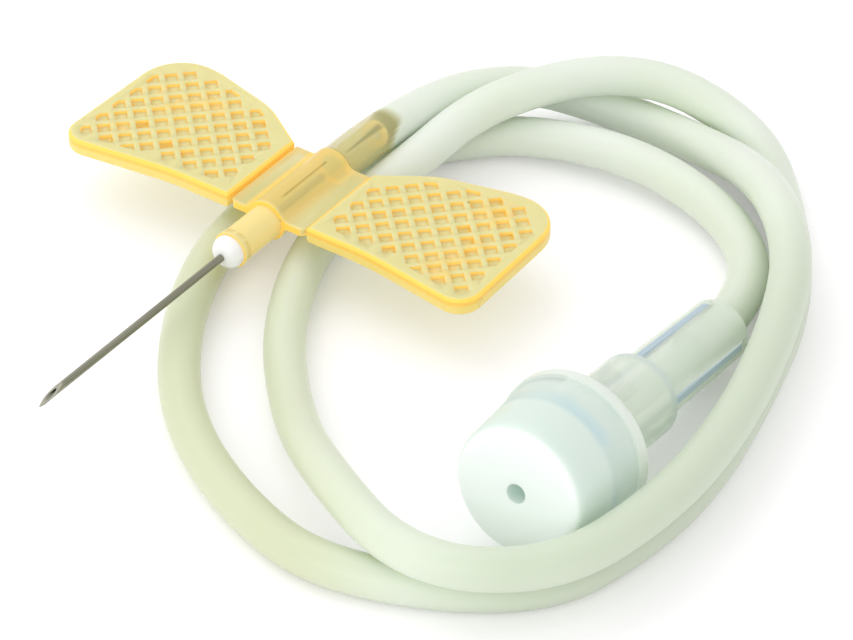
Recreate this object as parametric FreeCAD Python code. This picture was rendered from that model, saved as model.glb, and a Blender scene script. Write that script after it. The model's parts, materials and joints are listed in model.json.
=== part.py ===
import FreeCAD, Part
import math
import os
from FreeCAD import Vector, Placement, Rotation

# Winged infusion set, in mm. The needle lies along +X and points that way, +Y is the
# left wing's side seen from the tubing, and +Z is up. The origin is on the needle's axis
# where the bare steel leaves the bond. Hub, wings, bond and needle are drawn from the
# hub's nose face and then moved back by the bond's height. The set lies on a table,
# a little below the hub.

# Needle
needle_od = 0.5
needle_bore = 0.26
needle_free = 18.95
needle_tail = 9.8
tail_taper = 0.015
bevel_angle = 13.0
side_grind = 32.0
grind_steeper = 5.0
grind_start = 0.02
needle_gap = 0.02

# Bond at the nose
bond_radius = 1.12
bond_height = 0.95
bond_edge_round = 0.8
bond_seat = 0.45
bond_gap = 0.01

# Hub: nose barrel, saddle with two webs, spigot
nose_radius = 1.25
nose_rim = 0.55
nose_step = 0.07
nose_edge_round = 0.06
nose_length = 3.8
barrel_sink = 0.6
saddle_length = 7.2
mound_radius = 1.45
keel_radius = 1.36
web_half_width = 3.1
web_thickness = 0.5
web_mid_z = 0.2
web_fillet_top = 0.6
web_fillet_under = 0.3
corner_notch = 0.45
spigot_length = 4.9
spigot_lead = 0.25
bore_front = 0.3
bore_rear = 0.62

# Wings
wing_thickness = 1.2
wing_under_z = -0.4
hinge_gap = 0.3
hinge_y = web_half_width - web_thickness / 2
left_lift = 1.1
edge_round = 0.28
root_round = 0.12
grip_border = 0.8
grip_pitch = 1.26
grip_rib = 0.38
grip_depth = 0.24
grip_smallest = 0.3
grip_start = Vector(-8.5, 0.66, 0)

# Tubing: its bore is open at both ends and filled between
tube_od = 2.7
tube_id = 1.9
spigot_seat_gap = 0.2
bore_past_spigot = 0.3
arc_share = 0.45

# Connector, measured along its own axis from its rear face
connector_rear = Vector(-13.9, 28.5, -1.7)
connector_yaw = 2.0
connector_pitch = 8.0
connector_length = 20.7
grip_length = 9.9
grip_radius_rear = 2.15
grip_radius_front = 2.28
front_radius = 2.85
rib_count = 4
rib_height = 0.3
rib_width = 0.4
rib_roll = 10.0
rib_inset = 0.7
rib_lead = 0.8
rib_sink = 0.5
socket_depth = 3.5
socket_gap = 0.02
luer_mouth_radius = 2.15
luer_depth = 7.5
luer_slope = 0.03
channel_radius = 0.95
lug_radius = 3.9
lug_length = 1.0
lug_setback = 0.1
lug_width = 3.4
mould_round = 0.2

# Cap, on the connector's axis
cap_length = 6.9
rim_radius = 5.0
face_radius = 4.3
skirt_wall = 0.55
face_thickness = 3.1
seat_gap = 0.1
plug_length = 5.6
plug_gap = 0.03
core_hole_radius = 0.635
core_hole_depth = 4.5
cap_edge_round = 0.75
rim_band = 0.9
rim_band_step = 0.14

# Corners of a wing's outline: along X, out from the hinge line, corner radius
wing_corners = [
    (-nose_length, hinge_gap, root_round),
    (-3.75, 5.1, 20.0),
    (-2.5, 13.5, 1.6),
    (-14.85, 13.2, 3.2),
    (-14.5, 9.0, 5.0),
    (-13.3, 3.9, 6.0),
    (-nose_length - saddle_length, hinge_gap, root_round),
]

# The tubing's route as it lies, from the hub round to the connector
spigot_root_x = -nose_length - saddle_length
first_run = 8.45
last_run = 7.5
route_inner = [
    (-28.4, 3.1, -1.1),
    (-31.6, 8.3, -2.9),
    (-31.5, 15.5, -2.9),
    (-27.4, 23.6, -0.1),
    (-21.2, 29.6, 0.3),
    (-13.3, 32.9, -0.2),
    (-4.2, 35.3, 0.0),
    (4.6, 36.5, 1.0),
    (13.1, 34.4, 0.4),
    (16.9, 26.5, -0.2),
    (12.6, 16.9, -0.2),
    (6.7, 10.4, -2.9),
    (0.3, 4.9, -2.9),
    (-8.5, 1.1, -2.9),
    (-15.8, 2.4, -1.8),
    (-24.0, 4.2, 0.6),
    (-33.1, 10.1, 0.2),
    (-34.1, 18.7, -2.2),
    (-28.0, 25.0, -2.9),
    (-19.7, 30.4, -2.9),
    (-11.3, 32.9, -2.9),
    (-3.4, 34.7, -2.9),
    (3.9, 34.9, -2.9),
    (12.4, 32.7, -2.9),
    (17.8, 21.5, -2.9),
    (16.0, 13.4, -2.9),
    (11.4, 5.5, -2.9),
    (4.4, -0.1, -2.9),
    (-3.8, -3.6, -2.7),
    (-13.3, -3.6, -2.9),
    (-21.2, 1.4, -2.9),
    (-25.6, 6.1, -2.6),
    (-27.2, 14.6, -2.2),
    (-24.5, 23.9, -2.5),
]

X_AXIS = Vector(1, 0, 0)
TINY = 1e-6


def corner_arc(before, corner, after, radius):
    """The three points of an arc that rounds one corner, or None for a sharp one."""
    back = (before - corner).normalize()
    ahead = (after - corner).normalize()
    between = back.getAngle(ahead)
    turn = math.pi - between
    if radius < TINY or turn < TINY:
        return None
    reach = radius * math.tan(turn / 2)
    middle_way = (back + ahead).normalize()
    centre = corner + middle_way * (radius / math.cos(turn / 2))
    return corner + back * reach, centre - middle_way * radius, corner + ahead * reach


def join(edges, start, end):
    if start.distanceToPoint(end) > TINY:
        edges.append(Part.LineSegment(start, end).toShape())


def rounded_loop(corners, radii):
    """A closed flat outline with each corner rounded by its own radius."""
    count = len(corners)
    arcs = []
    for i in range(count):
        arc = corner_arc(corners[i - 1], corners[i], corners[(i + 1) % count], radii[i])
        arcs.append(arc if arc else (corners[i], None, corners[i]))
    edges = []
    for i in range(count):
        start, middle, end = arcs[i]
        if middle is not None:
            edges.append(Part.Arc(start, middle, end).toShape())
        join(edges, end, arcs[(i + 1) % count][0])
    return Part.Wire(edges)


def turned(profile):
    """A solid of revolution about X from (x, radius, corner radius) rows."""
    corners = [Vector(x, 0, r) for x, r, rounding in profile]
    wire = rounded_loop(corners, [rounding for x, r, rounding in profile])
    return Part.Face(wire).revolve(Vector(0, 0, 0), X_AXIS, 360)


def rod(start_x, end_x, radius):
    return Part.makeCylinder(radius, end_x - start_x, Vector(start_x, 0, 0), X_AXIS)


# Needle and bond

def make_needle():
    # The length held in the hub tapers a hair towards its tail.
    free = rod(bond_height, needle_free, needle_od / 2)
    held = Part.makeCone(
        needle_od / 2 - tail_taper, needle_od / 2, needle_tail + bond_height,
        Vector(-needle_tail, 0, 0), X_AXIS)
    inner = rod(-needle_tail - 1, needle_free + 1, needle_bore / 2)
    needle = free.fuse(held).cut(inner)
    # The bevel faces up and leaves the point at the underside of the steel.
    block = Part.makeBox(12, 4, 4, Vector(-6, -2, 0))
    block.rotate(Vector(0, 0, 0), Vector(0, 1, 0), bevel_angle)
    block.translate(Vector(needle_free, 0, -needle_od / 2))
    needle = needle.cut(block)
    # Two side grinds turn the front half of the bevel into a lancet point.
    for side in (-1, 1):
        grind = Part.makeBox(12, 4, 4, Vector(-6, -2, 0))
        grind.rotate(Vector(0, 0, 0), Vector(0, 1, 0), bevel_angle + grind_steeper)
        grind.rotate(Vector(0, 0, 0), X_AXIS, side * side_grind)
        grind.translate(Vector(needle_free, 0, -needle_od / 2 + grind_start))
        needle = needle.cut(grind)
    return needle


def make_bond():
    """A short plug in the nose with a round button in front of it."""
    button = turned([
        (-bond_seat, 0, 0),
        (-bond_seat, bond_radius, 0),
        (bond_height, bond_radius, bond_edge_round),
        (bond_height, 0, 0),
    ])
    return button.cut(rod(-bond_seat - 1, bond_height + 1, needle_od / 2))


# Hub

def saddle_section(x):
    """The saddle's cross-section: a mound on a thin web, and a keel under it."""
    top = web_mid_z + web_thickness / 2
    under = web_mid_z - web_thickness / 2
    end = web_half_width
    flat_end = hinge_y

    def at(y, z):
        return Vector(x, y, z)

    top_y = math.sqrt((mound_radius + web_fillet_top) ** 2 - (top + web_fillet_top) ** 2)
    low_y = math.sqrt((keel_radius + web_fillet_under) ** 2 - (web_fillet_under - under) ** 2)
    edges = []
    for side in (1, -1):
        centre = at(side * top_y, top + web_fillet_top)
        meet = centre * (mound_radius / (mound_radius + web_fillet_top))
        meet.x = x
        foot = at(side * top_y, top)
        slant = (meet - centre) + (foot - centre)
        middle = centre + slant.normalize() * web_fillet_top
        edges.append(Part.Arc(meet, middle, foot).toShape())
        edges.append(Part.LineSegment(foot, at(side * flat_end, top)).toShape())
        edge_top = at(side * flat_end, top)
        edge_low = at(side * flat_end, under)
        edges.append(Part.Arc(edge_top, at(side * end, web_mid_z), edge_low).toShape())
        low_centre = at(side * low_y, under - web_fillet_under)
        low_meet = low_centre * (keel_radius / (keel_radius + web_fillet_under))
        low_meet.x = x
        low_foot = at(side * low_y, under)
        edges.append(Part.LineSegment(edge_low, low_foot).toShape())
        slant = (low_meet - low_centre) + (low_foot - low_centre)
        middle = low_centre + slant.normalize() * web_fillet_under
        edges.append(Part.Arc(low_foot, middle, low_meet).toShape())
        if side == 1:
            first_meet = meet
            first_low = low_meet
    edges.append(Part.Arc(first_meet, at(0, mound_radius), meet).toShape())
    edges.append(Part.Arc(first_low, at(0, -keel_radius), low_meet).toShape())
    return Part.Face(Part.Wire(Part.__sortEdges__(edges)))


def make_hub():
    saddle = saddle_section(spigot_root_x).extrude(Vector(saddle_length, 0, 0))
    # Small notches free the web's front corners from the wings.
    for side in (-1, 1):
        points = [
            Vector(-nose_length + 1, side * (web_half_width + 1), -3),
            Vector(-nose_length - corner_notch - 1, side * (web_half_width + 1), -3),
            Vector(-nose_length + 1, side * (web_half_width - corner_notch - 1), -3),
        ]
        notch = Part.Face(Part.makePolygon(points + points[:1])).extrude(Vector(0, 0, 6))
        saddle = saddle.cut(notch)
    barrel_radius = nose_radius - nose_step
    spigot_end = spigot_root_x - spigot_length
    spigot_radius = tube_id / 2
    body = turned([
        (0, 0, 0),
        (0, nose_radius, nose_edge_round),
        (-nose_rim, nose_radius, 0),
        (-nose_rim - nose_step, barrel_radius, 0),
        (-nose_length - barrel_sink, barrel_radius, 0),
        (-nose_length - barrel_sink, spigot_radius, 0),
        (spigot_end + spigot_lead, spigot_radius, 0),
        (spigot_end, spigot_radius - spigot_lead / 3, 0),
        (spigot_end, 0, 0),
    ])
    hub = body.fuse(saddle).removeSplitter()
    hub = hub.cut(rod(-bond_seat - bond_gap, 1, bond_radius + bond_gap))
    hub = hub.cut(rod(-needle_tail, 1, needle_od / 2 + needle_gap))
    channel = turned([
        (-needle_tail, 0, 0),
        (-needle_tail, bore_front, 0),
        (spigot_end - 1, bore_rear, 0),
        (spigot_end - 1, 0, 0),
    ])
    return hub.cut(channel)


# Wings

def wing_outline():
    corners = [Vector(x, out, 0) for x, out, radius in wing_corners]
    return rounded_loop(corners, [radius for x, out, radius in wing_corners])


def grip_cutter():
    """Diamond pockets in rows, trimmed by a smooth border inside the outline."""
    field = Part.Face(wing_outline().makeOffset2D(-grip_border))
    step = grip_pitch / math.sqrt(2)
    half = (grip_pitch - grip_rib) / math.sqrt(2)
    whole = 2 * half * half
    box = field.BoundBox
    pockets = []
    for row in range(-2, 20):
        for column in range(-12, 12):
            if (row + column) % 2:
                continue
            centre = grip_start + Vector(column * step, row * step, 0)
            if not box.isInside(Vector(centre.x, centre.y, box.Center.z)):
                continue
            tips = []
            for dx, dy in ((half, 0), (0, half), (-half, 0), (0, -half)):
                tips.append(centre + Vector(dx, dy, 0))
            diamond = Part.Face(Part.makePolygon(tips + tips[:1])).common(field)
            if diamond.Area > whole * grip_smallest:
                pockets.append(diamond)
    top = wing_under_z + wing_thickness
    cutters = []
    for pocket in pockets:
        cutter = pocket.extrude(Vector(0, 0, grip_depth + 1))
        cutter.translate(Vector(0, 0, top - grip_depth))
        cutters.append(cutter)
    return Part.makeCompound(cutters)


def make_left_wing_flat():
    """The left wing lying flat, with the hinge line at its inner end."""
    blank = Part.Face(wing_outline()).extrude(Vector(0, 0, wing_thickness))
    rims = []
    for edge in blank.Edges:
        box = edge.BoundBox
        level = box.ZLength < TINY
        root = box.YMax < hinge_gap + root_round + TINY
        if level and not root:
            rims.append(edge)
    blank = blank.makeFillet(edge_round, rims)
    blank.translate(Vector(0, 0, wing_under_z))
    wing = blank.cut(grip_cutter())
    wing.translate(Vector(0, hinge_y, 0))
    return wing


# Tubing

def make_tube(route):
    """A tube of straight runs joined by tangent arcs, bored where it is pushed on."""
    edges = []
    radii = []
    last = route[0]
    for i in range(1, len(route) - 1):
        back = route[i - 1] - route[i]
        ahead = route[i + 1] - route[i]
        shorter = min(back.Length, ahead.Length)
        turn = math.pi - back.getAngle(ahead)
        radius = arc_share * shorter / math.tan(turn / 2)
        radii.append(radius)
        start, middle, end = corner_arc(route[i - 1], route[i], route[i + 1], radius)
        join(edges, last, start)
        edges.append(Part.Arc(start, middle, end).toShape())
        last = end
    join(edges, last, route[-1])
    path = Part.Wire(edges)
    circle = Part.Wire(Part.makeCircle(tube_od / 2, route[0], route[1] - route[0]))
    tube = path.makePipeShell([circle], True, True)
    area = math.pi * tube_od ** 2 / 4
    print("tube length", round(path.Length, 1), "bend radii", [round(r, 1) for r in radii])
    print("tube volume over section x length", round(tube.Volume / (area * path.Length), 4))
    seats = [
        (route[0], route[1], spigot_length - spigot_seat_gap + bore_past_spigot),
        (route[-1], route[-2], socket_depth),
    ]
    for mouth, inward, depth in seats:
        tube = tube.cut(Part.makeCylinder(tube_id / 2, depth, mouth, inward - mouth))
    return tube


# Connector and cap, both made along X from the connector's rear face

def luer_radius(x):
    """Radius of the female taper at x, widest at the connector's mouth."""
    return luer_mouth_radius - (connector_length - x) * luer_slope


def make_connector():
    mouth = connector_length
    body = turned([
        (0, 0, 0),
        (0, grip_radius_rear, mould_round),
        (grip_length, grip_radius_front, 0),
        (grip_length, front_radius, mould_round),
        (mouth, front_radius, 0),
        (mouth, 0, 0),
    ])
    rib_root = grip_radius_rear - rib_sink
    for i in range(rib_count):
        rib_corners = [
            Vector(rib_inset, 0, rib_root),
            Vector(rib_inset, 0, grip_radius_rear),
            Vector(rib_inset + rib_lead, 0, grip_radius_rear + rib_height),
            Vector(grip_length, 0, grip_radius_front + rib_height),
            Vector(grip_length, 0, rib_root),
        ]
        side = Part.Face(Part.makePolygon(rib_corners + rib_corners[:1]))
        side.translate(Vector(0, -rib_width / 2, 0))
        rib = side.extrude(Vector(0, rib_width, 0))
        rib.rotate(Vector(0, 0, 0), X_AXIS, rib_roll + i * 360.0 / rib_count - 90)
        body = body.fuse(rib)
    lug_end = mouth - lug_setback
    lug_ring = turned([
        (lug_end - lug_length, front_radius - rib_sink, 0),
        (lug_end - lug_length, lug_radius, 0),
        (lug_end, lug_radius, 0),
        (lug_end, front_radius - rib_sink, 0),
    ])
    ears = Part.makeBox(2 * connector_length, lug_width, 2 * lug_radius + 2)
    ears.translate(Vector(0, -lug_width / 2, -lug_radius - 1))
    body = body.fuse(lug_ring.common(ears)).removeSplitter()
    bore = turned([
        (-1, 0, 0),
        (-1, tube_od / 2 + socket_gap, 0),
        (socket_depth, tube_od / 2 + socket_gap, 0),
        (socket_depth, channel_radius, 0),
        (mouth - luer_depth, channel_radius, 0),
        (mouth - luer_depth, luer_radius(mouth - luer_depth), 0),
        (mouth + 1, luer_radius(mouth + 1), 0),
        (mouth + 1, 0, 0),
    ])
    return body.cut(bore)


def make_cap():
    face = connector_length + seat_gap + face_thickness
    rim = face - cap_length
    inner_face = face - face_thickness
    skirt_radius = rim_radius - rim_band_step
    taper = (skirt_radius - face_radius) / cap_length
    inner_radius = skirt_radius - taper * (inner_face - rim) - skirt_wall
    tip = connector_length - plug_length
    shell = turned([
        (rim, skirt_radius - skirt_wall, 0),
        (rim, rim_radius, mould_round),
        (rim + rim_band, rim_radius - taper * rim_band, 0),
        (rim + rim_band, skirt_radius - taper * rim_band, 0),
        (face, face_radius, cap_edge_round),
        (face, 0, 0),
        (tip, 0, 0),
        (tip, luer_radius(tip) - plug_gap, 0),
        (inner_face, luer_radius(inner_face) - plug_gap, 0),
        (inner_face, inner_radius, 0),
    ])
    return shell.cut(rod(face - core_hole_depth, face + 1, core_hole_radius))


# Everything in place

def build():
    placing = Placement(connector_rear, Rotation(connector_yaw, -connector_pitch, 0))
    heading = placing.Rotation.multVec(X_AXIS)

    left_wing = make_left_wing_flat()
    right_wing = left_wing.mirror(Vector(0, 0, 0), Vector(0, 1, 0))
    left_wing.rotate(Vector(0, hinge_y, web_mid_z), X_AXIS, left_lift)

    behind_bond = Vector(-bond_height, 0, 0)
    tube_start = behind_bond + Vector(spigot_root_x - spigot_seat_gap, 0, 0)
    tube_end = connector_rear + heading * socket_depth
    route = [tube_start, tube_start - X_AXIS * first_run]
    route += [Vector(x, y, z) for x, y, z in route_inner]
    route += [tube_end - heading * last_run, tube_end]

    connector = make_connector()
    connector.Placement = placing
    cap = make_cap()
    cap.Placement = placing

    needle = make_needle()
    bond = make_bond()
    hub = make_hub()
    for shape in (needle, bond, hub, left_wing, right_wing):
        shape.translate(behind_bond)

    parts = {
        "needle_cannula": needle,
        "needle_bond": bond,
        "wing_hub": hub,
        "left_wing": left_wing,
        "right_wing": right_wing,
        "tubing": make_tube(route),
        "luer_connector": connector,
        "luer_cap": cap,
    }
    os.makedirs("parts", exist_ok=True)
    for name, shape in parts.items():
        shape.exportStep("parts/" + name + ".step")
        box = shape.BoundBox
        low = [round(v, 2) for v in (box.XMin, box.YMin, box.ZMin)]
        high = [round(v, 2) for v in (box.XMax, box.YMax, box.ZMax)]
        print(name, shape.ShapeType, len(shape.Solids), shape.isValid(), low, high)


build()
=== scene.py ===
import json
import math

import bpy
from bpy.props import FloatProperty, FloatVectorProperty, PointerProperty
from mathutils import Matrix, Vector

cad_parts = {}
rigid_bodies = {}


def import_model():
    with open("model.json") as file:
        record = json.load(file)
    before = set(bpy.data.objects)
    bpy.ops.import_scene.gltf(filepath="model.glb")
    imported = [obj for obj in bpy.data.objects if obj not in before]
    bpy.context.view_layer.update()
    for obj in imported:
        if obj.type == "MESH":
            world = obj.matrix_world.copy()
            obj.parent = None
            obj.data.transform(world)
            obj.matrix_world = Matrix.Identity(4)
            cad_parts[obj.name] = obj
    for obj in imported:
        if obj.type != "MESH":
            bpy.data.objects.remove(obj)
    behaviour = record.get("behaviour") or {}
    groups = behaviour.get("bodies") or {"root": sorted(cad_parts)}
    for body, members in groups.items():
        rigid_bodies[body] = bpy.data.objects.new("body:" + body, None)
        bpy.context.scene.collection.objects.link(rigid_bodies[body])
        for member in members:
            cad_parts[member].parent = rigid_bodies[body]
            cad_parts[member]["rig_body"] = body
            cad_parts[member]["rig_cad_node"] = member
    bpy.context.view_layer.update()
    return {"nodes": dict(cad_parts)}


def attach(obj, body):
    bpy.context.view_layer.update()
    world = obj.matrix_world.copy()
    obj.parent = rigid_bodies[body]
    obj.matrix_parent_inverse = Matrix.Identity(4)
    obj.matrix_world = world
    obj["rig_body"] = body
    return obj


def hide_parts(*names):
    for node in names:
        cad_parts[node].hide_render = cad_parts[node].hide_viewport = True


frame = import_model()

bl_info = {
    "name": "Winged infusion set",
    "version": (1, 0, 0),
    "blender": (4, 5, 0),
    "location": "View3D > Sidebar > Infusion set",
    "description": "Dresses the winged infusion set's solids, lays its tubing and sets the stage",
    "category": "Add Mesh",
}

MM = 0.001

# The tubing's route as it lies, from the hub's spigot round to the connector, in metres.
TUBE_ROUTE = [
    (-0.01215, 0.0000, 0.0000),
    (-0.0206, 0.0000, 0.0000),
    (-0.0284, 0.0031, -0.0011),
    (-0.0316, 0.0083, -0.0029),
    (-0.0315, 0.0155, -0.0029),
    (-0.0274, 0.0236, -0.0001),
    (-0.0212, 0.0296, 0.0003),
    (-0.0133, 0.0329, -0.0002),
    (-0.0042, 0.0353, 0.0000),
    (0.0046, 0.0365, 0.0010),
    (0.0131, 0.0344, 0.0004),
    (0.0169, 0.0265, -0.0002),
    (0.0126, 0.0169, -0.0002),
    (0.0067, 0.0104, -0.0029),
    (0.0003, 0.0049, -0.0029),
    (-0.0085, 0.0011, -0.0029),
    (-0.0158, 0.0024, -0.0018),
    (-0.0240, 0.0042, 0.0006),
    (-0.0331, 0.0101, 0.0002),
    (-0.0341, 0.0187, -0.0022),
    (-0.0280, 0.0250, -0.0029),
    (-0.0197, 0.0304, -0.0029),
    (-0.0113, 0.0329, -0.0029),
    (-0.0034, 0.0347, -0.0029),
    (0.0039, 0.0349, -0.0029),
    (0.0124, 0.0327, -0.0029),
    (0.0178, 0.0215, -0.0029),
    (0.0160, 0.0134, -0.0029),
    (0.0114, 0.0055, -0.0029),
    (0.0044, -0.0001, -0.0029),
    (-0.0038, -0.0036, -0.0027),
    (-0.0133, -0.0036, -0.0029),
    (-0.0212, 0.0014, -0.0029),
    (-0.0256, 0.0061, -0.0026),
    (-0.0272, 0.0146, -0.0022),
    (-0.0245, 0.0239, -0.0025),
    (-0.017859, 0.028362, -0.002257),
    (-0.010436, 0.028621, -0.001213),
]

# The connector's rear face and heading, in metres and degrees.
CONNECTOR_REAR = (-0.0139, 0.0285, -0.0017)
CONNECTOR_YAW = 2.0
CONNECTOR_PITCH = 8.0

# The table's height, how far the left wing is lifted at rest in degrees, and the hinge lines' distance out.
TABLE_Z = -0.00425
LEFT_LIFT = 1.1
HINGE_Y = 0.00285

# Worn places on the wings: centre and reach, in millimetres.
LEFT_WORN = [((-12.8, 12.4, 1.0), 2.2), ((-6.6, 12.9, 1.0), 2.4), ((-9.5, 13.0, 1.0), 1.1)]
RIGHT_WORN = [((-12.1, -10.4, 0.8), 2.1), ((-10.9, -13.0, 0.8), 2.0), ((-6.4, -13.4, 0.8), 1.1)]

# Where the spigot starts to show in the tubing, where it ends, and where the needle's tail ends, along X.
SPIGOT_ROOT_X = -0.0118
SPIGOT_END_X = -0.01685
TAIL_END_X = -0.0108

# Across the hub, the side from which steel and bore show through the plastic, where the bore's dark image is
# painted as shade, and the line square to it.
SEEN_FROM = (0, 0.60, 0.80)
SEEN_ACROSS = (0, -0.80, 0.60)

# The camera's place and aim, its lens for a sensor 36 mm wide, and the point that the lamps face.
CAMERA_PLACE = (0.16640, 0.13465, 0.16193)
CAMERA_AIM = (-0.00681, 0.01110, -0.00430)
CAMERA_LENS = 178.9
LAMP_AIM = (-0.006, 0.011, 0.0)

# Each lamp: name, place, size and share of the main lamp's power.
LAMPS = [
    ("Key", (-0.05, -0.22, 0.36), 0.40, 1.0),
    ("Fill", (0.36, 0.03, 0.16), 0.26, 0.8),
]


def tone(red, green, blue):
    """A colour written as it shows on a screen, 0 to 255, as Blender's linear numbers."""
    linear = []
    for value in (red, green, blue):
        share = value / 255
        linear.append(share / 12.92 if share <= 0.04045 else ((share + 0.055) / 1.055) ** 2.4)
    return tuple(linear)


# Settings

class TubingSettings(bpy.types.PropertyGroup):
    outer_diameter: FloatProperty(
        name="Outer diameter", description="Outer diameter of the tubing",
        default=2.7 * MM, min=1.0 * MM, max=6.0 * MM, unit="LENGTH", precision=4)
    length: FloatProperty(
        name="Length", description="Length of the tubing from the hub to the connector's socket",
        default=0.318, min=0.05, max=1.5, unit="LENGTH", precision=3)
    colour: FloatVectorProperty(
        name="Colour", description="Colour of the clear tubing where it is seen in full light",
        default=tone(231, 240, 228), size=3, min=0, max=1, subtype="COLOR")
    shade_colour: FloatVectorProperty(
        name="Shade colour", description="Colour where more of the wall is looked through",
        default=tone(225, 235, 216), size=3, min=0, max=1, subtype="COLOR")
    # Painted shade: a yellower, darker colour painted on one side of the coil in place of the light and shade
    # that side gets.
    painted_side_shade_colour: FloatVectorProperty(
        name="Warm colour", description="Yellower cast of the tubing near the amber hub",
        default=tone(211, 217, 181), size=3, min=0, max=1, subtype="COLOR")


class HubSettings(bpy.types.PropertyGroup):
    colour: FloatVectorProperty(
        name="Colour", description="Colour of the hub's clear amber plastic",
        default=tone(212, 208, 146), size=3, min=0, max=1, subtype="COLOR")
    # Painted light: amber glow painted on the hub's end faces, fillets, rim and tip.
    painted_glow_colour: FloatVectorProperty(
        name="Glow colour", description="Amber that gathers in edges and fillets",
        default=tone(255, 206, 88), size=3, min=0, max=1, subtype="COLOR")
    bond_colour: FloatVectorProperty(
        name="Bond colour", description="Colour of the white bond at the nose",
        default=tone(254, 255, 250), size=3, min=0, max=1, subtype="COLOR")
    steel_colour: FloatVectorProperty(
        name="Steel colour", description="Colour of the needle's drawn steel",
        default=tone(158, 158, 140), size=3, min=0, max=1, subtype="COLOR")


class WingSettings(bpy.types.PropertyGroup):
    colour: FloatVectorProperty(
        name="Colour", description="Colour of the wings' frosted faces",
        default=tone(226, 222, 156), size=3, min=0, max=1, subtype="COLOR")
    # Painted light: the pocket floors are a touch lighter than the faces, against the shade down in them.
    lifted_pocket_colour: FloatVectorProperty(
        name="Pocket colour", description="Colour down in the grip pockets",
        default=tone(228, 222, 158), size=3, min=0, max=1, subtype="COLOR")
    # Painted light: amber glow painted on the wings' edges and pocket walls; the worn patches take it too.
    edge_glow_and_wear_colour: FloatVectorProperty(
        name="Edge colour", description="Amber of the wings' edges and pocket walls",
        default=tone(255, 208, 92), size=3, min=0, max=1, subtype="COLOR")


class EndSettings(bpy.types.PropertyGroup):
    connector_colour: FloatVectorProperty(
        name="Connector colour", description="Colour of the clear connector",
        default=tone(230, 241, 224), size=3, min=0, max=1, subtype="COLOR")
    rib_colour: FloatVectorProperty(
        name="Rib colour", description="Blue cast in the connector's ribs",
        default=tone(184, 204, 216), size=3, min=0, max=1, subtype="COLOR")
    cap_colour: FloatVectorProperty(
        name="Cap colour", description="Colour of the cap's solid front",
        default=tone(242, 252, 246), size=3, min=0, max=1, subtype="COLOR")
    skirt_colour: FloatVectorProperty(
        name="Skirt colour", description="Colour of the cap's thin skirt",
        default=tone(222, 237, 226), size=3, min=0, max=1, subtype="COLOR")


class StageSettings(bpy.types.PropertyGroup):
    floor_size: FloatProperty(
        name="Floor size", description="Length of the floor's side",
        default=3.0, min=0.5, max=20.0, unit="LENGTH")
    floor_colour: FloatVectorProperty(
        name="Floor colour", description="Colour of the floor",
        default=tone(250, 250, 250), size=3, min=0, max=1, subtype="COLOR")
    key_strength: FloatProperty(
        name="Key strength", description="Power of the main lamp in watts",
        default=0.40, min=0.0, max=10.0)
    world_strength: FloatProperty(
        name="Sky strength", description="Strength of the even light from all around",
        default=0.84, min=0.0, max=3.0)


# Helpers

def drop_selection():
    if bpy.context.object and bpy.context.object.mode != "OBJECT":
        bpy.ops.object.mode_set(mode="OBJECT")
    bpy.ops.object.select_all(action="DESELECT")


def pick(obj):
    drop_selection()
    obj.select_set(True)
    bpy.context.view_layer.objects.active = obj


def dress_node(node, name, body, angle, flat_joined=True):
    """A smooth-shaded copy of a CAD node, with its corners kept sharp."""
    source = frame["nodes"][node]
    pick(source)
    bpy.ops.object.duplicate(linked=False)
    piece = bpy.context.object
    piece.name = name
    piece.data.name = name
    bpy.ops.object.parent_clear(type="CLEAR")
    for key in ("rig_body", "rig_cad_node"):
        if key in piece:
            del piece[key]
    piece.data.materials.clear()
    bpy.ops.object.mode_set(mode="EDIT")
    bpy.ops.mesh.select_all(action="SELECT")
    bpy.ops.mesh.remove_doubles(threshold=0.5e-6)
    if flat_joined:
        bpy.ops.mesh.dissolve_limited(angle_limit=math.radians(0.05))
    bpy.ops.mesh.select_all(action="DESELECT")
    bpy.ops.object.mode_set(mode="OBJECT")
    bpy.ops.object.shade_smooth_by_angle(angle=math.radians(angle))
    bpy.ops.object.modifier_add(type="WEIGHTED_NORMAL")
    piece.modifiers[-1].keep_sharp = True
    piece.modifiers[-1].mode = "FACE_AREA_WITH_ANGLE"
    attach(piece, body)
    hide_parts(node)
    return piece


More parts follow.
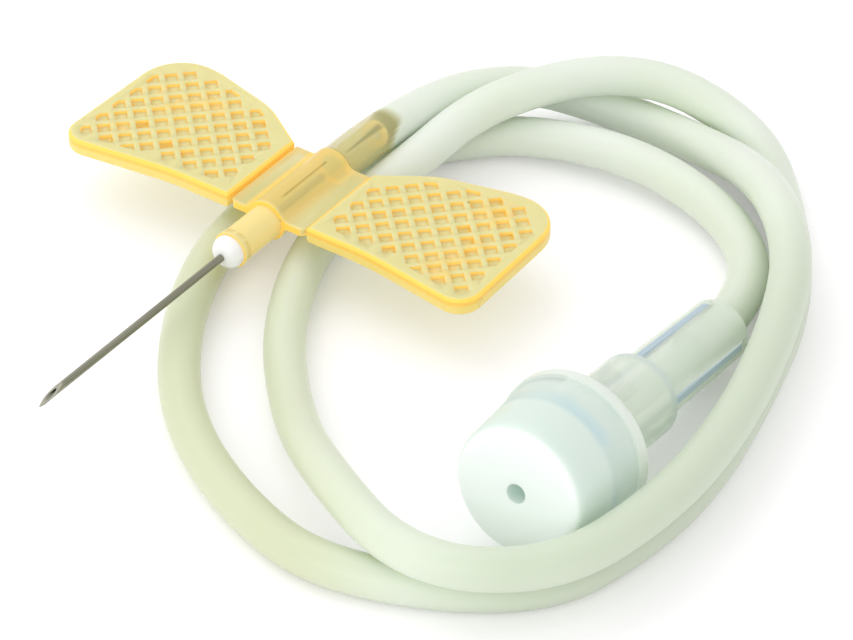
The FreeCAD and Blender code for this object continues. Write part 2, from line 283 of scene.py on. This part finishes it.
class Nodes:
    """Short calls for building one material's nodes."""

    def __init__(self, name):
        self.material = bpy.data.materials.new(name)
        self.material.use_nodes = True
        self.material.cycles.emission_sampling = "NONE"
        self.tree = self.material.node_tree
        self.tree.nodes.clear()
        self.output = self.tree.nodes.new("ShaderNodeOutputMaterial")
        self.shader = self.tree.nodes.new("ShaderNodeBsdfPrincipled")
        self.tree.links.new(self.shader.outputs["BSDF"], self.output.inputs["Surface"])
        self.coords = self.tree.nodes.new("ShaderNodeTexCoord")

    def plug(self, value, socket):
        if isinstance(value, bpy.types.NodeSocket):
            self.tree.links.new(value, socket)
        elif hasattr(socket.default_value, "__len__") and len(socket.default_value) == 4:
            socket.default_value = (*value[:3], 1.0)
        else:
            socket.default_value = value

    def set(self, name, value):
        self.plug(value, self.shader.inputs[name])

    def math(self, operation, first, second=0.0, third=0.0, clamp=False):
        node = self.tree.nodes.new("ShaderNodeMath")
        node.operation = operation
        node.use_clamp = clamp
        for value, socket in zip((first, second, third), node.inputs):
            self.plug(value, socket)
        return node.outputs[0]

    def vector(self, operation, first, second=(0, 0, 0)):
        node = self.tree.nodes.new("ShaderNodeVectorMath")
        node.operation = operation
        self.plug(first, node.inputs[0])
        self.plug(second, node.inputs[1])
        return node.outputs["Value" if operation in {"LENGTH", "DISTANCE", "DOT_PRODUCT"} else "Vector"]

    def split(self, vector):
        node = self.tree.nodes.new("ShaderNodeSeparateXYZ")
        self.plug(vector, node.inputs[0])
        return node.outputs

    def ramp(self, value, low, high):
        """0 below low and 1 above high, smoothly; low may be the larger one."""
        node = self.tree.nodes.new("ShaderNodeMapRange")
        node.interpolation_type = "SMOOTHSTEP"
        self.plug(value, node.inputs["Value"])
        start, end, first, last = (low, high, 0.0, 1.0) if low < high else (high, low, 1.0, 0.0)
        node.inputs["From Min"].default_value = start
        node.inputs["From Max"].default_value = end
        node.inputs["To Min"].default_value = first
        node.inputs["To Max"].default_value = last
        return node.outputs["Result"]

    def mix(self, share, first, second):
        node = self.tree.nodes.new("ShaderNodeMix")
        node.data_type = "RGBA"
        self.plug(share, node.inputs[0])
        self.plug(first, node.inputs[6])
        self.plug(second, node.inputs[7])
        return node.outputs[2]

    def noise(self, vector, scale, detail=2.0, roughness=0.5):
        node = self.tree.nodes.new("ShaderNodeTexNoise")
        self.plug(vector, node.inputs["Vector"])
        node.inputs["Scale"].default_value = scale
        node.inputs["Detail"].default_value = detail
        node.inputs["Roughness"].default_value = roughness
        return node.outputs["Fac"]

    def cells(self, vector, scale):
        node = self.tree.nodes.new("ShaderNodeTexVoronoi")
        self.plug(vector, node.inputs["Vector"])
        node.inputs["Scale"].default_value = scale
        return node.outputs["Distance"]

    def placed(self, location, rotation):
        """Object coordinates seen from a placed and turned frame."""
        node = self.tree.nodes.new("ShaderNodeMapping")
        node.vector_type = "TEXTURE"
        self.plug(self.coords.outputs["Object"], node.inputs["Vector"])
        node.inputs["Location"].default_value = location
        node.inputs["Rotation"].default_value = rotation
        return node.outputs["Vector"]

    def bump(self, height, strength, distance):
        node = self.tree.nodes.new("ShaderNodeBump")
        node.inputs["Strength"].default_value = strength
        node.inputs["Distance"].default_value = distance
        self.plug(height, node.inputs["Height"])
        self.set("Normal", node.outputs["Normal"])


def near(nodes, place, centre, reach):
    """1 at a place on the piece, fading to 0 at its reach."""
    distance = nodes.vector("DISTANCE", place, tuple(v * MM for v in centre))
    return nodes.ramp(distance, reach * MM, reach * 0.35 * MM)


# Materials

def tubing_material(settings):
    """Soft clear plastic: pale green, satin, with the spigot's amber showing at its start."""
    m = Nodes("Soft clear tubing")
    place = m.coords.outputs["Object"]
    x, y, z = m.split(place)
    cloud = m.noise(place, 60.0, 2.0)
    colour = m.mix(m.ramp(cloud, 0.35, 0.7), settings.shade_colour, settings.colour)
    # Painted shade: where x − y is above about −11 mm, the tubing is painted yellower and darker.
    painted_side_shade = m.ramp(m.math("SUBTRACT", x, y), -0.011, 0.001)
    colour = m.mix(m.math("MULTIPLY", painted_side_shade, 0.85), colour, settings.painted_side_shade_colour)
    # Painted shade: the tubing is painted darker on its far side, beyond y = 25 mm.
    painted_far_shade = m.ramp(y, 0.025, 0.033)
    colour = m.mix(m.math("MULTIPLY", painted_far_shade, 0.8), colour, tone(206, 217, 195))
    at_start = m.ramp(m.vector("LENGTH", place), 0.0212, 0.0202)
    at_start = m.math("MULTIPLY", m.ramp(x, -0.0183, -0.0171), at_start)
    on_axis = m.ramp(m.vector("LENGTH", m.vector("MULTIPLY", place, (0, 1, 1))), 0.00150, 0.00144)
    clear = m.math("MULTIPLY", at_start, m.math("MULTIPLY", on_axis, m.ramp(x, -0.0112, SPIGOT_ROOT_X)))
    colour = m.mix(clear, colour, tone(222, 217, 156))
    m.set("Base Color", colour)
    m.set("Roughness", 0.34)
    m.set("IOR", 1.35)
    m.set("Subsurface Weight", 0.6)
    m.set("Subsurface Radius", (0.0020, 0.0022, 0.0018))
    m.set("Subsurface Scale", 1.0)
    m.set("Alpha", m.math("SUBTRACT", 1.0, m.math("MULTIPLY", clear, 0.5)))
    return m.material


def hub_material(settings):
    """Clear amber plastic that shows the steel inside it, with a painted amber glow at its edges, a painted
    shade for its bore and a faint painted glow all over.
    """
    m = Nodes("Clear amber hub")
    place = m.coords.outputs["Object"]
    x, y, z = m.split(place)
    nx, ny, nz = m.split(m.coords.outputs["Normal"])
    around = m.vector("LENGTH", m.vector("MULTIPLY", place, (0, 1, 1)))
    out = m.math("ABSOLUTE", y)
    # Painted light: an amber glow is painted on the end faces, rim, tip and fillets, stronger on the fillets
    # of the −Y side where the key lamp falls.
    ends = m.ramp(m.math("ABSOLUTE", nx), 0.5, 0.9)
    fillet = m.math("MULTIPLY", m.ramp(out, 0.0010, 0.0013), m.ramp(out, 0.0020, 0.0016))
    sunlit = m.math("ADD", 0.25, m.math("MULTIPLY", m.ramp(y, 0.0005, -0.0005), 0.75))
    fillet = m.math("MULTIPLY", fillet, sunlit)
    rim = m.ramp(out, 0.00284, 0.00300)
    tip = m.ramp(x, -0.0162, -0.0166)
    glow = m.math("MAXIMUM", m.math("MAXIMUM", ends, rim), m.math("MULTIPLY", fillet, 0.8))
    cloud = m.ramp(m.noise(place, 260.0, 3.0), 0.35, 0.75)
    mound = m.ramp(m.math("MAXIMUM", out, m.math("MULTIPLY", z, -1.0)), 0.0020, 0.0012)
    colour = m.mix(m.math("MULTIPLY", cloud, 0.4), settings.colour, tone(226, 220, 160))
    colour = m.mix(m.math("MULTIPLY", mound, 0.8), colour, tone(226, 208, 126))
    barrel = m.ramp(x, -0.0052, -0.0045)
    colour = m.mix(m.math("MULTIPLY", barrel, 0.8), colour, tone(238, 220, 148))
    spigot = m.ramp(x, SPIGOT_ROOT_X, -0.0124)
    colour = m.mix(m.math("MULTIPLY", spigot, 0.9), colour, tone(208, 201, 142))
    colour = m.mix(glow, colour, settings.painted_glow_colour)
    colour = m.mix(tip, colour, tone(255, 222, 134))
    wall = m.ramp(around, 0.00072, 0.00066)
    upper = m.ramp(m.vector("DOT_PRODUCT", place, SEEN_FROM), 0.0005, 0.0007)
    across = m.vector("DOT_PRODUCT", place, SEEN_ACROSS)
    wide = m.math("MULTIPLY", m.math("SUBTRACT", -0.0122, x), 0.062)
    wide = m.math("MAXIMUM", wide, 0.00001)
    bore = m.math("DIVIDE", m.math("ABSOLUTE", m.math("SUBTRACT", across, 0.00017)), wide)
    # Painted shade: a dark wedge, widening towards the spigot's end, painted on the SEEN_FROM side for the
    # bore seen through the spigot.
    painted_bore_shade = m.math("MULTIPLY", m.math("MULTIPLY", m.ramp(bore, 1.3, 0.4), upper), m.ramp(x, -0.0125, -0.0132))
    painted_bore_shade = m.math("MULTIPLY", painted_bore_shade, m.ramp(x, SPIGOT_END_X, -0.0164))
    tail = m.ramp(m.math("ABSOLUTE", m.math("SUBTRACT", across, 0.0005)), 0.00011, 0.00004)
    held = m.math("MULTIPLY", m.ramp(x, TAIL_END_X, -0.0105), m.ramp(x, -0.0056, -0.0064))
    tail = m.math("MULTIPLY", m.math("MULTIPLY", tail, upper), held)
    colour = m.mix(painted_bore_shade, colour, tone(84, 82, 44))
    colour = m.mix(m.math("MULTIPLY", tail, 0.6), colour, tone(150, 132, 62))
    m.set("Base Color", colour)
    m.set("Roughness", 0.2)
    m.set("IOR", 1.42)
    m.set("Subsurface Weight", 0.3)
    m.set("Subsurface Radius", (0.0012, 0.0010, 0.0005))
    m.set("Subsurface Scale", 1.0)
    # Painted light: the hub emits its own colour, 0.18 everywhere and more where it glows, to flatten its
    # shading.
    m.set("Emission Color", colour)
    m.set("Emission Strength", m.math("ADD", 0.18, m.math("MULTIPLY", m.math("MAXIMUM", glow, tip), 0.04)))
    alpha = m.math("ADD", 0.64, m.math("MULTIPLY", m.math("MAXIMUM", glow, barrel), 0.28))
    alpha = m.math("MULTIPLY", alpha, m.math("SUBTRACT", 1.0, m.math("MULTIPLY", wall, 0.85)))
    m.set("Alpha", m.math("MAXIMUM", alpha, m.math("MAXIMUM", painted_bore_shade, tip)))
    m.bump(m.noise(place, 500.0, 2.0), 0.1, 0.00004)
    return m.material


def wing_material(settings, name, lift, worn):
    """Frosted amber: pale faces, a painted amber glow on the edges and pocket walls with a painted highlight
    band along the edges, worn patches and specks.
    """
    m = Nodes(name)
    place = m.coords.outputs["Object"]
    x, y, z = m.split(place)
    nx, ny, nz = m.split(m.coords.outputs["Normal"])
    upright = m.ramp(m.math("ABSOLUTE", nz), 0.86, 0.45)
    raised = m.math("SUBTRACT", m.math("ABSOLUTE", y), HINGE_Y)
    raised = m.math("MULTIPLY", raised, math.tan(math.radians(lift)))
    level = m.math("SUBTRACT", z, raised)
    # Painted highlight: a paler band along the middle of the outer edges.
    mid_edge_highlight = m.math("MULTIPLY", m.ramp(level, 0.00042, 0.00020), m.ramp(level, -0.00034, -0.00018))
    mid_edge_highlight = m.math("MULTIPLY", mid_edge_highlight, upright)
    cloud = m.ramp(m.noise(place, 320.0, 3.0), 0.3, 0.75)
    # Painted light: the pocket floors are painted a touch lighter, against their shade.
    pocket = m.math("MULTIPLY", m.ramp(level, 0.00074, 0.00066), m.ramp(nz, 0.7, 0.9))
    colour = m.mix(m.math("MULTIPLY", cloud, 0.3), settings.colour, tone(232, 220, 148))
    colour = m.mix(m.math("MULTIPLY", pocket, 0.9), colour, settings.lifted_pocket_colour)
    melted = None
    for centre, reach in worn:
        patch = near(m, place, centre, reach)
        melted = patch if melted is None else m.math("MAXIMUM", melted, patch)
    streaks = m.ramp(m.noise(place, 700.0, 4.0, 0.65), 0.44, 0.56)
    melted = m.math("MULTIPLY", melted, streaks)
    # Painted light: amber glow on the upright walls and pocket walls, joined with part of the worn patches.
    wall = m.math("MULTIPLY", m.ramp(level, 0.000572, 0.000600), m.ramp(level, 0.000796, 0.000770))
    glow = m.math("MAXIMUM", m.math("MAXIMUM", upright, wall), m.math("MULTIPLY", melted, 0.45))
    colour = m.mix(glow, colour, settings.edge_glow_and_wear_colour)
    colour = m.mix(m.math("MULTIPLY", mid_edge_highlight, 0.7), colour, tone(246, 226, 140))
    specks = m.ramp(m.cells(place, 330.0), 0.055, 0.03)
    rare = m.ramp(m.noise(place, 150.0, 0.0), 0.60, 0.62)
    specks = m.math("MULTIPLY", specks, rare)
    colour = m.mix(m.math("MULTIPLY", specks, 0.8), colour, tone(96, 84, 40))
    m.set("Base Color", colour)
    m.set("Roughness", m.math("ADD", 0.26, m.math("MULTIPLY", cloud, 0.14)))
    m.set("IOR", 1.45)
    m.set("Subsurface Weight", 0.4)
    m.set("Subsurface Radius", (0.0012, 0.0010, 0.0005))
    m.set("Subsurface Scale", 1.0)
    m.set("Emission Color", colour)
    # Painted light: the wing emits its own colour, faintly everywhere and more on its glowing walls.
    lit = m.math("ADD", m.math("MULTIPLY", glow, 0.05), m.math("MULTIPLY", wall, 0.17))
    m.set("Emission Strength", m.math("ADD", lit, 0.06))
    m.set("Alpha", 0.9)
    height = m.math("ADD", m.noise(place, 900.0, 3.0), m.math("MULTIPLY", melted, 1.5))
    m.bump(height, 0.25, 0.00008)
    return m.material


def bond_material(settings):
    """Cured white adhesive, glossy, with the faintest clouding."""
    m = Nodes("White bond")
    place = m.coords.outputs["Object"]
    cloud = m.ramp(m.noise(place, 700.0, 2.0), 0.35, 0.7)
    m.set("Base Color", m.mix(m.math("MULTIPLY", cloud, 0.5), settings.bond_colour, tone(246, 252, 240)))
    m.set("Roughness", 0.2)
    m.set("Subsurface Weight", 0.3)
    m.set("Subsurface Radius", (0.0006, 0.0006, 0.0005))
    m.set("Subsurface Scale", 1.0)
    m.bump(m.noise(place, 1400.0, 2.0), 0.06, 0.00003)
    return m.material


def steel_material(settings):
    """Drawn steel: fine lines along the needle and a brighter ground bevel."""
    m = Nodes("Drawn steel")
    place = m.coords.outputs["Object"]
    lines = m.noise(m.vector("MULTIPLY", place, (60.0, 9000.0, 9000.0)), 1.0, 3.0, 0.6)
    x, y, z = m.split(place)
    ground = m.ramp(x, 0.0156, 0.0160)
    colour = m.mix(m.ramp(lines, 0.3, 0.7), tone(126, 126, 108), settings.steel_colour)
    colour = m.mix(m.math("MULTIPLY", ground, 0.35), colour, tone(176, 176, 164))
    m.set("Base Color", colour)
    m.set("Metallic", 0.85)
    m.set("Roughness", m.math("ADD", 0.30, m.math("MULTIPLY", lines, 0.14)))
    m.bump(lines, 0.1, 0.00001)
    return m.material


def along_connector(m):
    """Place along the connector's own axis, with its distance from that axis."""
    turned = (0.0, math.radians(-CONNECTOR_PITCH), math.radians(CONNECTOR_YAW))
    local = m.placed(CONNECTOR_REAR, turned)
    around = m.vector("LENGTH", m.vector("MULTIPLY", local, (0, 1, 1)))
    return local, m.split(local)[0], around


def connector_material(settings):
    """Hard clear plastic with a green cast, blue in its ribs and at its step."""
    m = Nodes("Clear connector")
    local, along, around = along_connector(m)
    rib = m.math("MULTIPLY", m.ramp(around, 0.00232, 0.00242), m.ramp(along, 0.0102, 0.0097))
    step = m.math("MULTIPLY", m.ramp(along, 0.0096, 0.0099), m.ramp(along, 0.0108, 0.0103))
    # Painted shade: the bore's walls are painted a touch darker.
    bore = m.ramp(around, 0.00215, 0.00190)
    cloud = m.ramp(m.noise(local, 330.0, 4.0, 0.6), 0.35, 0.7)
    colour = m.mix(m.math("MULTIPLY", cloud, 0.5), settings.connector_colour, tone(222, 235, 218))
    colour = m.mix(m.math("MULTIPLY", bore, 0.3), colour, tone(216, 229, 214))
    colour = m.mix(m.math("MAXIMUM", rib, m.math("MULTIPLY", step, 0.25)), colour, settings.rib_colour)
    m.set("Base Color", colour)
    m.set("Roughness", 0.16)
    m.set("IOR", 1.5)
    # Painted light: the connector emits its own colour faintly, to flatten its shading.
    m.set("Emission Color", colour)
    m.set("Emission Strength", 0.08)
    m.set("Alpha", m.math("ADD", 0.68, m.math("MULTIPLY", rib, 0.15)))
    rings = m.noise(m.vector("MULTIPLY", local, (1.0, 0.1, 0.1)), 900.0, 2.0)
    m.bump(rings, 0.12, 0.00005)
    return m.material


def cap_material(settings):
    """Milky cap: a solid white front, a thinner skirt and a paler rim."""
    m = Nodes("Milky cap")
    local, along, around = along_connector(m)
    front = m.ramp(along, 0.0202, 0.0208)
    rim = m.ramp(along, 0.0180, 0.0178)
    patches = m.ramp(m.noise(local, 130.0, 1.0), 0.42, 0.6)
    shade = m.math("MULTIPLY", m.ramp(along, 0.0190, 0.0202), patches)
    # Painted shade: the hole in the cap's front is painted darker.
    shaded_hole = m.math("MULTIPLY", m.ramp(around, 0.00068, 0.00062), front)
    cloud = m.ramp(m.noise(local, 420.0, 3.0), 0.35, 0.7)
    skirt = m.mix(m.math("MULTIPLY", cloud, 0.5), settings.skirt_colour, tone(205, 225, 216))
    skirt = m.mix(m.math("MULTIPLY", shade, 0.8), skirt, tone(198, 226, 228))
    skirt = m.mix(rim, skirt, tone(228, 238, 226))
    # Painted shade: the solid front's side, beyond 4.2 mm from the axis, is painted darker than its face.
    shaded_cap_side = m.mix(m.ramp(around, 0.0040, 0.0043), settings.cap_colour, tone(216, 232, 221))
    colour = m.mix(front, skirt, shaded_cap_side)
    colour = m.mix(m.math("MULTIPLY", shaded_hole, 0.55), colour, tone(204, 224, 214))
    m.set("Base Color", colour)
    # Painted light: the cap emits its own colour faintly, to flatten its shading.
    m.set("Emission Color", colour)
    m.set("Emission Strength", 0.07)
    m.set("Roughness", m.math("ADD", 0.30, m.math("MULTIPLY", cloud, 0.1)))
    m.set("Subsurface Weight", 0.3)
    m.set("Subsurface Radius", (0.0015, 0.0016, 0.0015))
    m.set("Subsurface Scale", 1.0)
    solid = m.math("MAXIMUM", front, m.math("MULTIPLY", rim, 0.6))
    m.set("Alpha", m.math("ADD", 0.84, m.math("MULTIPLY", solid, 0.16)))
    rings = m.noise(m.vector("MULTIPLY", local, (1.0, 0.15, 0.15)), 800.0, 2.0)
    m.bump(rings, 0.12, 0.00006)
    return m.material


# Operators

class INFUSION_OT_tubing(bpy.types.Operator):
    """Lay the clear tubing along its route from the hub to the connector"""
    bl_idname = "infusion.tubing"
    bl_label = "Lay the tubing"

    def execute(self, context):
        settings = context.scene.infusion_tubing
        drop_selection()
        bpy.ops.curve.primitive_nurbs_path_add(radius=0.01, location=(0, 0, 0))
        tube = context.object
        tube.name = "soft_tubing"
        curve = tube.data
        curve.name = "soft_tubing"
        curve.splines.clear()
        spline = curve.splines.new("NURBS")
        spline.points.add(len(TUBE_ROUTE) - 1)
        for point, place in zip(spline.points, TUBE_ROUTE):
            point.co = (*place, 1.0)
        spline.order_u = 3
        spline.use_endpoint_u = True
        spline.resolution_u = 10
        curve.dimensions = "3D"
        curve.resolution_u = 10
        curve.render_resolution_u = 0
        curve.bevel_mode = "ROUND"
        curve.bevel_depth = settings.outer_diameter / 2
        curve.bevel_resolution = 10
        curve.use_fill_caps = True
        curve.materials.append(tubing_material(settings))
        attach(tube, "set")
        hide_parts("tubing")
        return {"FINISHED"}


class INFUSION_OT_hub(bpy.types.Operator):
    """Dress the amber hub, its white bond and the steel needle"""
    bl_idname = "infusion.hub"
    bl_label = "Dress the hub and needle"

    def execute(self, context):
        settings = context.scene.infusion_hub
        hub = dress_node("wing_hub", "amber_hub", "set", 32)
        hub.data.materials.append(hub_material(settings))
        bond = dress_node("needle_bond", "white_bond", "set", 50)
        bond.data.materials.append(bond_material(settings))
        needle = dress_node("needle_cannula", "steel_needle", "set", 25)
        needle.data.materials.append(steel_material(settings))
        return {"FINISHED"}


class INFUSION_OT_wings(bpy.types.Operator):
    """Dress both finger wings with their frosted faces and glowing edges"""
    bl_idname = "infusion.wings"
    bl_label = "Dress the wings"

    def execute(self, context):
        settings = context.scene.infusion_wings
        left = dress_node("left_wing", "amber_left_wing", "left_wing", 32, flat_joined=False)
        left.data.materials.append(wing_material(settings, "Frosted amber left", LEFT_LIFT, LEFT_WORN))
        right = dress_node("right_wing", "amber_right_wing", "right_wing", 32, flat_joined=False)
        right.data.materials.append(wing_material(settings, "Frosted amber right", 0.0, RIGHT_WORN))
        return {"FINISHED"}


class INFUSION_OT_connector(bpy.types.Operator):
    """Dress the clear connector and the milky cap on it"""
    bl_idname = "infusion.connector"
    bl_label = "Dress the connector and cap"

    def execute(self, context):
        settings = context.scene.infusion_ends
        connector = dress_node("luer_connector", "clear_connector", "set", 32)
        connector.data.materials.append(connector_material(settings))
        cap = dress_node("luer_cap", "milky_cap", "cap", 32)
        cap.data.materials.append(cap_material(settings))
        return {"FINISHED"}


class INFUSION_OT_stage(bpy.types.Operator):
    """Set the pale floor, the soft lamps and the camera"""
    bl_idname = "infusion.stage"
    bl_label = "Set the stage"

    def execute(self, context):
        settings = context.scene.infusion_stage
        drop_selection()
        bpy.ops.mesh.primitive_plane_add(size=settings.floor_size, location=(0, 0, TABLE_Z - 0.00003))
        floor = context.object
        floor.name = "pale_floor"
        m = Nodes("Pale floor")
        grain = m.ramp(m.noise(m.coords.outputs["Object"], 40.0, 2.0), 0.3, 0.7)
        m.set("Base Color", m.mix(grain, settings.floor_colour, tone(248, 248, 248)))
        m.set("Roughness", 0.9)
        m.set("Specular IOR Level", 0.1)
        rays = m.tree.nodes.new("ShaderNodeLightPath")
        seen = m.math("MAXIMUM", rays.outputs["Is Camera Ray"], rays.outputs["Is Glossy Ray"])
        seen = m.math("MAXIMUM", seen, rays.outputs["Is Transmission Ray"])
        lift = m.tree.nodes.new("ShaderNodeEmission")
        lift.inputs["Color"].default_value = (1, 1, 1, 1)
        m.plug(m.math("MULTIPLY", seen, 0.20), lift.inputs["Strength"])
        both = m.tree.nodes.new("ShaderNodeAddShader")
        m.tree.links.new(m.shader.outputs["BSDF"], both.inputs[0])
        m.tree.links.new(lift.outputs["Emission"], both.inputs[1])
        m.tree.links.new(both.outputs["Shader"], m.output.inputs["Surface"])
        floor.data.materials.append(m.material)

        world = bpy.data.worlds.new("Even light")
        world.use_nodes = True
        context.scene.world = world
        tree = world.node_tree
        tree.nodes.clear()
        rays = tree.nodes.new("ShaderNodeLightPath")
        light = tree.nodes.new("ShaderNodeBackground")
        light.inputs["Strength"].default_value = settings.world_strength
        white = tree.nodes.new("ShaderNodeBackground")
        white.inputs["Strength"].default_value = 1.0
        chosen = tree.nodes.new("ShaderNodeMixShader")
        out = tree.nodes.new("ShaderNodeOutputWorld")
        light.inputs["Color"].default_value = (1.0, 0.975, 1.0, 1)
        white.inputs["Color"].default_value = (1, 1, 1, 1)
        tree.links.new(rays.outputs["Is Camera Ray"], chosen.inputs["Fac"])
        tree.links.new(light.outputs["Background"], chosen.inputs[1])
        tree.links.new(white.outputs["Background"], chosen.inputs[2])
        tree.links.new(chosen.outputs["Shader"], out.inputs["Surface"])

        for name, place, size, share in LAMPS:
            lamp = bpy.data.lights.new(name, "AREA")
            lamp.energy = settings.key_strength * share
            lamp.size = size
            holder = bpy.data.objects.new(name, lamp)
            holder.location = place
            aim = Vector(LAMP_AIM) - Vector(place)
            holder.rotation_euler = aim.to_track_quat("-Z", "Y").to_euler()
            context.scene.collection.objects.link(holder)

        camera = bpy.data.objects.new("Camera", bpy.data.cameras.new("Camera"))
        camera.location = CAMERA_PLACE
        aim = Vector(CAMERA_AIM) - Vector(CAMERA_PLACE)
        camera.rotation_euler = aim.to_track_quat("-Z", "Y").to_euler()
        camera.data.sensor_width = 36
        camera.data.lens = CAMERA_LENS
        camera.data.clip_start = 0.01
        context.scene.collection.objects.link(camera)
        context.scene.camera = camera
        context.scene.view_settings.view_transform = "Standard"
        return {"FINISHED"}


class INFUSION_PT_panel(bpy.types.Panel):
    """Sizes and colours of the infusion set, and the steps that build it"""
    bl_label = "Infusion set"
    bl_idname = "INFUSION_PT_panel"
    bl_space_type = "VIEW_3D"
    bl_region_type = "UI"
    bl_category = "Infusion set"

    def draw(self, context):
        for group, settings, steps in GROUPS:
            box = self.layout.box()
            box.label(text=group)
            owner = getattr(context.scene, settings)
            for name in owner.__annotations__:
                box.prop(owner, name)
            for step in steps:
                box.operator(step.bl_idname)


GROUPS = [
    ("Hub and needle", "infusion_hub", [INFUSION_OT_hub]),
    ("Wings", "infusion_wings", [INFUSION_OT_wings]),
    ("Connector and cap", "infusion_ends", [INFUSION_OT_connector]),
    ("Tubing", "infusion_tubing", [INFUSION_OT_tubing]),
    ("Stage", "infusion_stage", [INFUSION_OT_stage]),
]
SETTINGS = {
    "infusion_tubing": TubingSettings,
    "infusion_hub": HubSettings,
    "infusion_wings": WingSettings,
    "infusion_ends": EndSettings,
    "infusion_stage": StageSettings,
}
OPERATORS = [step for group, settings, steps in GROUPS for step in steps]


def register():
    for name, settings in SETTINGS.items():
        bpy.utils.register_class(settings)
        setattr(bpy.types.Scene, name, PointerProperty(type=settings))
    for operator in OPERATORS:
        bpy.utils.register_class(operator)
    bpy.utils.register_class(INFUSION_PT_panel)


def unregister():
    bpy.utils.unregister_class(INFUSION_PT_panel)
    for operator in reversed(OPERATORS):
        bpy.utils.unregister_class(operator)
    for name, settings in SETTINGS.items():
        delattr(bpy.types.Scene, name)
        bpy.utils.unregister_class(settings)


def build_set():
    register()
    bpy.ops.infusion.hub()
    bpy.ops.infusion.wings()
    bpy.ops.infusion.connector()
    bpy.ops.infusion.tubing()
    bpy.ops.infusion.stage()


if __name__ == "__main__":
    build_set()
